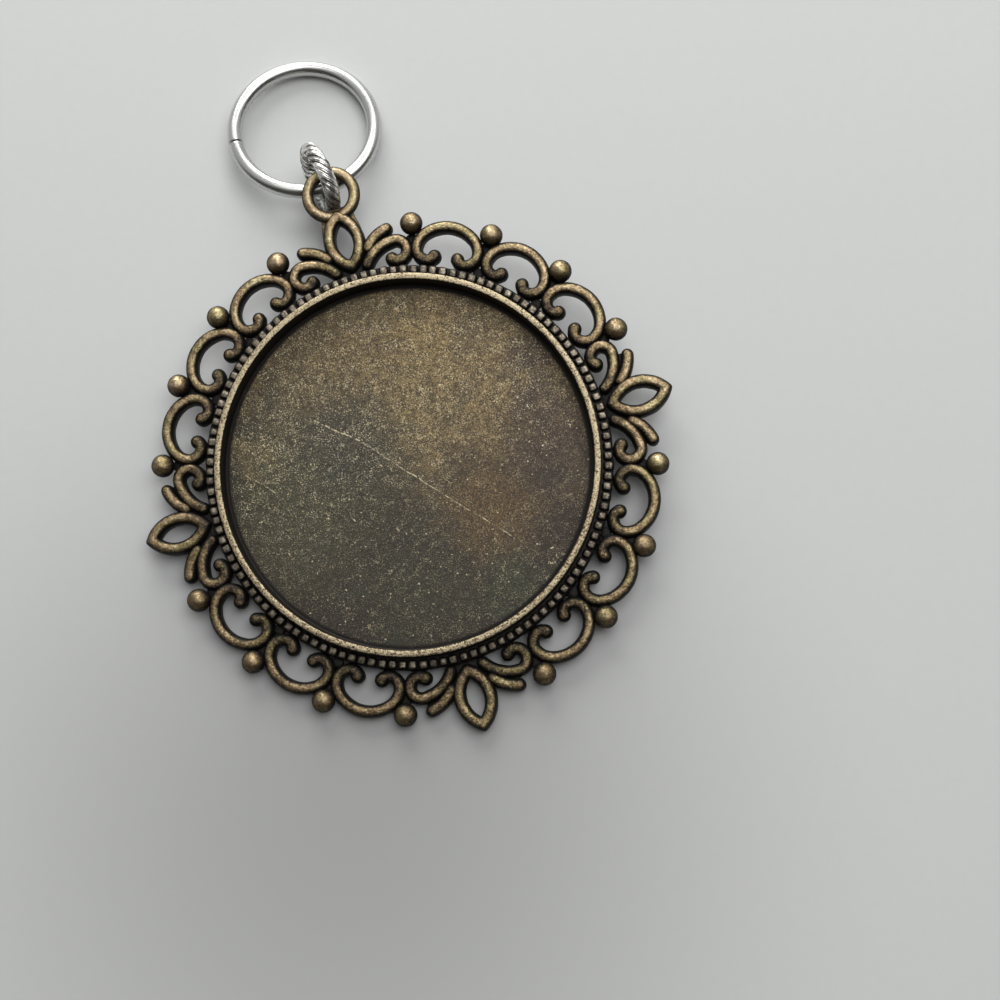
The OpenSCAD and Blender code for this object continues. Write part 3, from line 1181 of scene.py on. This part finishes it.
@dataclass
class Scrollwork:
    """The border of scrolls, leaves, bars, balls and thin webs round the tray."""

    quarters: int = 4
    c_turns: tuple[float, ...] = (-18.85, 0, 18.85)
    ball_turns: tuple[float, ...] = (-28.42, -9.28, 9.28, 28.42)
    c_band: Band = field(default_factory=lambda: Band(1.36))
    hook_band: Band = field(default_factory=lambda: Band(1.38))
    bar_band: Band = field(default_factory=lambda: Band(1.42, 1.62))
    leaf_band: Band = field(default_factory=lambda: Band(1.42, 1.75, 7))
    c_arcs: tuple[Arc, ...] = (
        Arc(0, 22.88, 3.87, 90, 45.5),
        Arc(1.1, 24, 2.3, 45.5, 0),
        Arc(2.05, 24, 1.35, 0, -90),
        Arc(2.05, 23.45, 0.8, -90, -165),
    )
    hook_arcs: tuple[Arc, ...] = (
        Arc(5.25, 20.38, 4.12, 147, 90),
        Arc(5.25, 23.3, 1.2, 90, -90),
        Arc(5.25, 22.85, 0.75, -90, -155),
    )
    bar_arcs: tuple[Arc, ...] = (Arc(5.54, 21.99, 4.07, 142.8, 99.8),)
    leaf_arcs: tuple[Arc, ...] = (Arc(-1.9, 25.92, 3.52, -66, 66),)
    ball_diameter: float = 2.5
    ball_circle: float = 26.77
    ball_foot: float = 0.06
    web_height: float = 0.8
    web_corners: int = 20
    leaf_web: tuple[Point, ...] = (
        (1.8, 21.9),
        (3.1, 23.7),
        (5.2, 24.4),
        (5.1, 25.7),
        (3.4, 25.3),
        (1.9, 25.2),
        (1.35, 24.5),
        (0.3, 22.9),
    )
    notch_webs: tuple[Triple, ...] = (
        (-9.28, 25.2, 0.85),
        (9.28, 25.2, 0.85),
        (-28.3, 25, 0.8),
        (28.3, 25, 0.8),
        (-9.28, 22.45, 0.6),
        (9.28, 22.45, 0.6),
    )
    c_knob: float = 0.13
    hook_knob: float = 0.12
    shrink: float = 0.012
    waves: Point = (0.05, 0.7)

    @property
    def middle(self) -> float:
        """The turn from a leaf's line to the middle of its quarter, in degrees."""
        return 180 / self.quarters

    def turns(self, degrees: Sequence[float], wobble: float = 0.0) -> list[Matrix]:
        """Turn a motif to its places in all quarters, each a little different if it wobbles.

        Args:
            degrees: Its clockwise turns from the first leaf's line.
            wobble: The most by which each copy differs, in degrees.

        Returns:
            One matrix for each place.
        """
        moves = []
        for quarter in range(self.quarters):
            for turn in degrees:
                angle = quarter * 360 / self.quarters + turn + random.uniform(-wobble, wobble)
                grow = 1 + random.uniform(-self.shrink, 0) * bool(wobble)
                moves.append(Matrix.Rotation(-math.radians(angle), 4, UP) @ Matrix.Scale(grow, 4, UP))
        return moves

    def beside_leaves(self, name: str, obj: Piece, wobble: float) -> Piece:
        """Copy a motif to both sides of every leaf.

        Args:
            name: The joined copies' name.
            obj: The motif on the right of the first leaf, which is used up.
            wobble: The most by which each copy's turn differs, in degrees.

        Returns:
            The joined copies.
        """
        made = []
        pair = Bench.copies(obj, [Matrix.Diagonal((side.value, 1, 1, 1)) for side in Side])
        for piece in pair:
            Bench.weld(piece)
        for piece in pair:
            made += Bench.copies(piece, self.turns([0], wobble))
        return Bench.join(name, made)

    def c_scrolls(self) -> Piece:
        """Build the twelve large open scrolls.

        Returns:
            The joined scrolls.
        """
        band, arcs = self.c_band, self.c_arcs
        obj = band.sweep("c_scroll", arcs, (False, True))
        Bench.apply(obj, "MIRROR", use_axis=(True, False, False), merge_threshold=WELD)
        Bench.weld(obj)
        Bench.smooth(obj)
        for side in Side:
            end = arcs[-1]
            if side is Side.LEFT:
                end = Arc(-end.x, end.y, end.radius, 180 - end.first, 180 - end.last)
            band.swell(obj, end, end.last, -side.value, self.c_knob)
        moves = self.turns([self.middle + turn for turn in self.c_turns], 0.12)
        return Bench.join("c_scrolls", Bench.copies(obj, moves))

    def hook_scrolls(self) -> Piece:
        """Build the eight hooked scrolls beside the leaves.

        Returns:
            The joined scrolls.
        """
        band, arcs = self.hook_band, self.hook_arcs
        obj = band.sweep("hook_scroll", arcs, (True, True))
        Bench.smooth(obj)
        band.swell(obj, arcs[-1], arcs[-1].last, -1, self.hook_knob)
        return self.beside_leaves("hook_scrolls", obj, 0.15)

    def side_bars(self) -> Piece:
        """Build the eight short bars beside the leaves.

        Returns:
            The joined bars.
        """
        obj = self.bar_band.sweep("side_bar", self.bar_arcs, (True, True))
        Bench.smooth(obj)
        return self.beside_leaves("side_bars", obj, 0.3)

    def leaf_loops(self) -> Piece:
        """Build the four open leaves, mitred at both tips.

        Returns:
            The joined leaves.
        """
        obj = self.leaf_band.sweep("leaf_loop", self.leaf_arcs, (False, False))
        Bench.apply(
            obj,
            "MIRROR",
            use_axis=(True, False, False),
            use_bisect_axis=(True, False, False),
            bisect_threshold=WELD,
            merge_threshold=WELD * 2,
        )
        Bench.weld(obj)
        Bench.smooth(obj)
        return Bench.join("leaf_loops", Bench.copies(obj, self.turns([0])))

    def ball_studs(self) -> Piece:
        """Build the sixteen balls on the outer edge.

        Returns:
            The joined balls.
        """
        Bench.clear()
        radius = self.ball_diameter / 2
        bpy.ops.mesh.primitive_ico_sphere_add(
            subdivisions=4,
            radius=radius * MM,
            location=Vector((0, self.ball_circle, radius + self.ball_foot)) * MM,
        )
        bpy.ops.object.transform_apply()
        obj = bpy.context.object
        moves = self.turns([self.middle + turn for turn in self.ball_turns], 0.15)
        return Bench.join("ball_studs", Bench.copies(obj, moves))

    def webs(self) -> Piece:
        """Build the thin webs behind the scrolls.

        Returns:
            The joined webs.
        """
        web = Bench.plate("leaf_web", both_sides(self.leaf_web), self.web_height)
        made = Bench.copies(web, self.turns([0]))
        for turn, distance, radius in self.notch_webs:
            ring = [
                (radius * math.cos(angle), distance + radius * math.sin(angle))
                for angle in directions(self.web_corners)
            ]
            web = Bench.plate("notch_web", ring, self.web_height)
            made += Bench.copies(web, self.turns([self.middle + turn]))
        return Bench.join("scroll_webs", made)

    def build(self, finish: Material, ball_finish: Material, web_finish: Material) -> list[Piece]:
        """Build and dress the whole border.

        Args:
            finish: The bands' material.
            ball_finish: The balls' material.
            web_finish: The webs' material.

        Returns:
            The pieces.
        """
        made = []
        bands = (self.c_scrolls, self.hook_scrolls, self.side_bars, self.leaf_loops)
        for maker, dress in [(band, finish) for band in bands] + [(self.ball_studs, ball_finish)]:
            obj = maker()
            Bench.roughen(obj, *self.waves)
            made.append(Bench.cast(obj, dress))
        made.append(Bench.cast(self.webs(), web_finish))
        return made


@dataclass
class Bezel:
    """The tray with its rim, and the ring of small beads round it."""

    seat_radius: float = 20.0
    rim_width: float = 0.75
    rim_height: float = 3.3
    floor_height: float = TRAY_FLOOR
    flange_radius: float = 22.06
    flange_height: float = 1.38
    steps: int = 288
    bead_count: int = 124
    bead_circle: float = 21.5
    bead_size: Triple = (1.09, 1.26, 1.5)
    bead_top: float = 1.84
    bead_taper: Point = (0.96, 0.86)
    bead_rounding: float = 0.34
    bead_wander: float = 0.05
    bead_lean: float = 0.09
    bead_scale: Point = (0.9, 1.02)
    bead_drop: float = 0.05
    cup_waves: Point = (0.03, 0.5)
    bead_waves: Point = (0.05, 0.35)

    def revolve(self, name: str, profile: Sequence[Point]) -> Piece:
        """Spin a profile once round.

        Args:
            name: The new object's name.
            profile: Radius and height of its points in millimetres.

        Returns:
            The turned shape.
        """
        obj = Bench.outline(name, [Vector((radius, 0, height)) * MM for radius, height in profile])
        Bench.edit(obj)
        if profile[0][0] == 0:
            closing = {0, len(profile) - 1}
            mesh = bmesh.from_edit_mesh(obj.data)
            for edge in list(mesh.edges):
                if {vert.index for vert in edge.verts} == closing:
                    mesh.edges.remove(edge)
            bmesh.update_edit_mesh(obj.data)
        bpy.ops.mesh.select_all(action="SELECT")
        Bench.spin(Vector(), FULL_TURN, self.steps)
        Bench.weld(obj)
        return obj

    def cup(self) -> Piece:
        """Build the rim, the walls, the flange and the back.

        Returns:
            The cup.
        """
        seat, outer, top = self.seat_radius, self.seat_radius + self.rim_width, self.rim_height
        flange, edge = self.flange_radius, self.flange_height
        profile = (
            (0, 0),
            (flange - 1, 0),
            (flange - 0.1, 0),
            (flange, 0.1),
            (flange, edge - 0.12),
            (flange - 0.12, edge),
            (outer + 0.35, edge),
            (outer + 0.05, edge + 0.06),
            (outer, edge + 0.3),
            (outer, top - 0.32),
            (outer - 0.01, top - 0.14),
            (outer - 0.05, top - 0.04),
            (outer - 0.13, top),
            (seat + 0.13, top),
            (seat + 0.05, top - 0.04),
            (seat + 0.01, top - 0.14),
            (seat, top - 0.34),
            (seat, self.floor_height + 0.3),
            (seat - 0.05, self.floor_height + 0.1),
            (seat - 0.2, self.floor_height - 0.02),
            (seat - 0.5, self.floor_height - 0.02),
            (0, self.floor_height - 0.02),
        )
        obj = self.revolve("bezel_cup", profile)
        Bench.roughen(obj, *self.cup_waves)
        return obj

    def floor(self) -> Piece:
        """Build the thin sanded skin on the tray's floor.

        Returns:
            The skin.
        """
        radius, height = self.seat_radius - 0.22, self.floor_height
        profile = (
            (0, height - 0.1),
            (radius, height - 0.1),
            (radius, height - 0.015),
            (radius - 0.1, height),
            (radius - 6, height),
            (0, height),
        )
        return self.revolve("tray_floor", profile)

    def beads(self) -> Piece:
        """Build the ring of small squarish beads.

        Returns:
            The joined beads.
        """
        Bench.clear()
        crown = Vector((0, self.bead_circle, self.bead_top)) * MM
        middle = self.bead_top - self.bead_size[2] / 2
        bpy.ops.mesh.primitive_cube_add(
            size=MM,
            scale=self.bead_size,
            location=Vector((0, self.bead_circle, middle)) * MM,
        )
        bpy.ops.object.transform_apply()
        obj = bpy.context.object
        Bench.edit(obj)
        Bench.choose(obj, lambda place: place.z > middle * MM)
        bpy.ops.transform.resize(value=(*self.bead_taper, 1), center_override=crown)
        Bench.clear()
        Bench.bevel(obj, self.bead_rounding, 4)
        pivot = Matrix.Translation(crown)
        moves = []
        for index in range(self.bead_count):
            step = index + random.uniform(-self.bead_wander, self.bead_wander)
            angle = -FULL_TURN * step / self.bead_count
            tip = random.uniform(-self.bead_lean, self.bead_lean)
            lean = Matrix.Rotation(tip, 4, (random.uniform(-1, 1), random.uniform(-1, 1), 0.4))
            size = Matrix.Scale(random.uniform(*self.bead_scale), 4)
            drop = Matrix.Translation(UP * random.uniform(-self.bead_drop, 0) * MM)
            moves.append(Matrix.Rotation(angle, 4, UP) @ drop @ pivot @ lean @ size @ pivot.inverted())
        obj = Bench.join("bead_border", Bench.copies(obj, moves))
        Bench.roughen(obj, *self.bead_waves)
        return obj

    def build(self, rim: Material, floor: Material, beads: Material) -> list[Piece]:
        """Build and dress the tray and its beads.

        Args:
            rim: The cup's material.
            floor: The floor's material.
            beads: The beads' material.

        Returns:
            The pieces.
        """
        makers = ((self.cup, rim), (self.floor, floor), (self.beads, beads))
        return [Bench.cast(maker(), finish) for maker, finish in makers]


@dataclass
class Bail:
    """The round loop at the tip of the top leaf, with its shoulders."""

    hole: float = 3.9
    wire: float = 1.3
    centre: float = 31.55
    height: float = 0.9
    shoulder: tuple[Point, ...] = (
        (1.2, 29.9),
        (1.9, 29.6),
        (1.84, 29.1),
        (1.9, 28.5),
        (2.08, 27.8),
        (2.2, 27.0),
        (1.5, 26.9),
        (0.9, 28.4),
    )
    shoulder_height: float = 1.05
    waves: Point = (0.04, 0.7)

    def build(self, finish: Material) -> Piece:
        """Build and dress the loop.

        Args:
            finish: The loop's material.

        Returns:
            The piece.
        """
        Bench.clear()
        bpy.ops.mesh.primitive_torus_add(
            major_segments=96,
            minor_segments=24,
            major_radius=(self.hole + self.wire) / 2 * MM,
            minor_radius=self.wire / 2 * MM,
            location=Vector((0, self.centre, self.height)) * MM,
        )
        bpy.ops.object.transform_apply()
        loop = bpy.context.object
        plate = Bench.plate("shoulder", both_sides(self.shoulder), self.shoulder_height)
        obj = Bench.join("bail_loop", [loop, plate])
        Bench.roughen(obj, *self.waves)
        return Bench.cast(obj, finish)


@dataclass
class JumpRing:
    """What the two rings share: their size and place, in millimetres and degrees."""

    diameter: float
    wire: float
    azimuth: float
    centre: Point

    def placed(self, height: float, turn: float) -> Matrix:
        """Find the move from the flat ring to its place.

        Args:
            height: The height of its middle above the paper, in millimetres.
            turn: Its turn out of the level, in radians.

        Returns:
            The move's matrix.
        """
        place = Vector((self.centre[0], self.centre[1] + REST.shift, height)) * MM
        heading = Matrix.Rotation(math.radians(self.azimuth), 4, "Z")
        return Matrix.Translation(place) @ heading @ Matrix.Rotation(turn, 4, "Y")


@dataclass
class LargeRing(JumpRing):
    """The plain split ring, which leans on the twisted ring."""

    diameter: float = 15.8
    wire: float = 1.65
    azimuth: float = 52.4
    centre: Point = (-0.985, 41.146)
    tilt: float = 7.54
    cut_width: float = 0.2
    cut_turn: float = 125.5
    cut_rounding: float = 0.07
    sections: int = 256
    corners: int = 32

    @property
    def matrix(self) -> Matrix:
        """The move from the flat ring to its place."""
        lean = math.radians(self.tilt)
        return self.placed(self.wire / 2 + self.diameter / 2 * math.sin(lean), lean)

    def build(self, finish: Material) -> Piece:
        """Build and dress the ring.

        Args:
            finish: The ring's material.

        Returns:
            The piece.
        """
        radius, thick = self.diameter / 2, self.wire / 2
        cut = self.cut_width / radius
        places = [
            Vector((radius + thick * math.cos(turn), 0, thick * math.sin(turn))) * MM
            for turn in directions(self.corners)
        ]
        obj = Bench.outline("large_ring_wire", places)
        Bench.edit_all(obj)
        bpy.ops.mesh.edge_face_add()
        Bench.spin(Vector(), FULL_TURN - cut, self.sections)
        Bench.weld(obj)
        Bench.bevel(obj, self.cut_rounding, 3, angle_limit=math.radians(60))
        self.unroll(obj)
        start = Matrix.Rotation(math.radians(self.cut_turn) + cut / 2, 4, "Z")
        obj.data.transform(self.matrix @ start)
        return Bench.finish(obj, Slot.STEEL, finish, "large_ring")

    def unroll(self, obj: Piece) -> None:
        """Map the wire's surface: metres along the wire, and metres round it.

        Args:
            obj: The flat ring.
        """
        layer = obj.data.uv_layers.new(name="wire")
        radius, thick = self.diameter / 2 * MM, self.wire / 2 * MM
        for loop in obj.data.loops:
            place = obj.data.vertices[loop.vertex_index].co
            along = math.atan2(place.y, place.x) % FULL_TURN
            round_wire = math.atan2(place.z, math.hypot(place.x, place.y) - radius)
            layer.data[loop.index].uv = (along * radius, round_wire * thick)


@dataclass
class TwistedRing(JumpRing):
    """The small jump ring of strands twisted together, which stands nearly upright."""

    diameter: float = 6.58
    wire: float = 1.76
    azimuth: float = 191.3
    centre: Point = (-0.68, 33.84)
    groove: float = 0.16
    strands: int = 6
    threads: int = 18
    strand_share: float = 0.72
    thread_share: float = 0.28
    sharpness: float = 0.7
    turns: int = 4
    lean: float = 11.6
    lift: float = 0.02
    sections: int = 320
    corners: int = 108

    @property
    def matrix(self) -> Matrix:
        """The move from the flat ring to its place.

        Returns:
            The move's matrix.
        """
        lean = math.radians(self.lean)
        height = self.wire / 2 + self.diameter / 2 * math.cos(lean) + self.lift
        return self.placed(height, math.pi / 2 - lean)

    def depth(self, around: float) -> float:
        """How deep the surface lies in a groove.

        Args:
            around: The direction round the wire, in radians.

        Returns:
            The share of the groove's depth, from 0 to 1.
        """
        strand = 1 - abs(math.cos(around * self.strands / 2)) ** self.sharpness
        thread = 1 - abs(math.cos(around * self.threads / 2))
        return self.strand_share * strand + self.thread_share * thread

    def build(self, finish: Material) -> Piece:
        """Build and dress the ring.

        Args:
            finish: The ring's material.

        Returns:
            The piece.
        """
        thick, radius = self.wire / 2, self.diameter / 2 * MM
        length = FULL_TURN * radius
        places = []
        for turn in directions(self.corners):
            reach = (thick - self.groove * self.depth(turn)) * MM
            places.append(Vector((0, reach * math.cos(turn), reach * math.sin(turn))))
        obj = Bench.outline("twisted_ring_wire", places)
        count = self.sections
        Bench.apply(obj, "SCREW", axis="X", angle=0, screw_offset=length, steps=count, render_steps=count)
        for vert in obj.data.vertices:
            angle = FULL_TURN * vert.co.x / length
            twist = Matrix.Rotation(self.turns * angle, 3, "X")
            _, across, rise = twist @ Vector((0, vert.co.y, vert.co.z))
            reach = radius + across
            vert.co = Vector((reach * math.cos(angle), reach * math.sin(angle), rise))
        Bench.weld(obj)
        ridge = obj.data.attributes.new(RIDGE, "FLOAT", "POINT")
        for vert in obj.data.vertices:
            reach = math.hypot(math.hypot(vert.co.x, vert.co.y) - radius, vert.co.z) / MM
            ridge.data[vert.index].value = 1 - (thick - reach) / self.groove
        obj.data.transform(self.matrix)
        return Bench.finish(obj, Slot.SILVER, finish, "twisted_ring")


@dataclass(frozen=True)
class Lamp:
    """A soft square lamp that faces the pendant, in metres and watts."""

    name: str
    place: Point
    height: float
    size: float
    power: float
    colour: Colour

    def hang(self) -> None:
        """Put the lamp into the scene."""
        data = bpy.data.lights.new(self.name, "AREA")
        data.size = self.size
        data.energy = self.power
        data.color = self.colour
        lamp = bpy.data.objects.new(self.name, data)
        bpy.context.scene.collection.objects.link(lamp)
        lamp.location = (*self.place, self.height)
        lamp.rotation_euler = (-lamp.location).to_track_quat("-Z", "Y").to_euler()


@dataclass
class Studio:
    """The floor, the soft lights and the camera of the photograph."""

    focal: float = 57.1
    sensor: float = 36.0
    eye: Triple = (7.125, -50.211, 169.252)
    aim: Triple = (8.381, -16.187, 0.0)
    roll: float = -14.296
    clip: Point = (0.005, 10)
    paper_size: float = 3.0
    far_side: Triple = (0.08, 0.88, 0.46)
    far_reach: float = 0.45
    near_tone: Colour = (0.05, 0.047, 0.043)
    far_tone: Colour = (0.45, 0.455, 0.45)
    lamps: tuple[Lamp, ...] = (
        Lamp("window", (0.05, 0.40), 0.165, 0.32, 1.65, (1.0, 0.995, 0.98)),
        Lamp("ceiling", (0.18, 0.08), 0.50, 0.44, 1.53, (1.0, 1.0, 1.0)),
    )

    def floor(self) -> None:
        """Lay the pale floor under the pendant."""
        Bench.clear()
        bpy.ops.mesh.primitive_plane_add(size=self.paper_size)
        paper = Bench.name(bpy.context.object, "floor")
        paper.data.materials.append(PalePaper().make())

    def lights(self) -> None:
        """Hang the lamps."""
        for lamp in self.lamps:
            lamp.hang()
        bpy.context.scene.view_settings.view_transform = "Standard"

    def room(self) -> None:
        """Light the room itself: pale on the far side and overhead, dark on the near side."""
        world = bpy.data.worlds.new("room")
        world.use_nodes = True
        nodes, links = world.node_tree.nodes, world.node_tree.links
        direction = nodes.new("ShaderNodeTexCoord").outputs["Generated"]
        ahead = nodes.new("ShaderNodeVectorMath")
        ahead.operation = "DOT_PRODUCT"
        links.new(direction, ahead.inputs[0])
        ahead.inputs[1].default_value = self.far_side
        share = nodes.new("ShaderNodeMapRange")
        share.interpolation_type = "SMOOTHSTEP"
        links.new(ahead.outputs["Value"], share.inputs["Value"])
        share.inputs["From Min"].default_value = 0.0
        share.inputs["From Max"].default_value = self.far_reach
        tone = nodes.new("ShaderNodeMix")
        tone.data_type = "RGBA"
        links.new(share.outputs["Result"], tone.inputs[0])
        tone.inputs[6].default_value = (*self.near_tone, 1)
        tone.inputs[7].default_value = (*self.far_tone, 1)
        links.new(tone.outputs[2], nodes["Background"].inputs["Color"])
        bpy.context.scene.world = world

    def camera(self) -> None:
        """Set the camera where the photograph was taken."""
        data = bpy.data.cameras.new("camera")
        data.lens = self.focal
        data.sensor_width = self.sensor
        data.clip_start, data.clip_end = self.clip
        camera = bpy.data.objects.new("camera", data)
        bpy.context.scene.collection.objects.link(camera)
        eye, aim = Vector(self.eye) * MM, Vector(self.aim) * MM
        level = (aim - eye).to_track_quat("-Z", "Y").to_matrix().to_4x4()
        roll = Matrix.Rotation(math.radians(self.roll), 4, "Z")
        camera.matrix_world = Matrix.Translation(eye) @ level @ roll
        bpy.context.scene.camera = camera

    def build(self) -> None:
        """Set up the whole studio."""
        self.camera()
        self.floor()
        self.lights()
        self.room()


def main() -> None:
    """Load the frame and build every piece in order."""
    logging.basicConfig(level=logging.INFO, format="%(message)s")
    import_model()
    random.seed(7)
    Studio().build()
    bronze = AgedBronze("aged_bronze").make()
    beads = AgedBronze(
        "dull_beads",
        low=1.2,
        high=1.8,
        reach=0.4,
        glint=(0.54, 0.50, 0.43),
        worn=(0.285, 0.25, 0.195),
        rubbed=(0.14, 0.117, 0.09),
        brown=(0.05, 0.04, 0.03),
        green=(1.0, 1.0, 1.0),
        wear=-0.02,
        side=0.68,
        inner=1.0,
        near=0.85,
    ).make()
    balls = AgedBronze("rubbed_balls", side=0.25, wear=0.07, grain=0.8).make()
    webs = AgedBronze("dark_webs", low=1.2, high=2.0, reach=0.8, wear=-0.2).make()
    rim, floor = WornRim("worn_rim").make(), BlastedFloor("blasted_floor").make()
    bail = AgedBronze("worn_bail", low=0.4, high=1.5, reach=0.5, wear=0.08, side=0.35, grain=0.7).make()
    pieces = Scrollwork().build(bronze, balls, webs) + Bezel().build(rim, floor, beads)
    pieces.append(Bail().build(bail))
    pieces.append(LargeRing().build(DrawnSteel("drawn_steel").make()))
    pieces.append(TwistedRing().build(TwistedSilver("twisted_silver").make()))
    LOG.info("%d pieces", len(pieces))


if __name__ == "__main__":
    main()
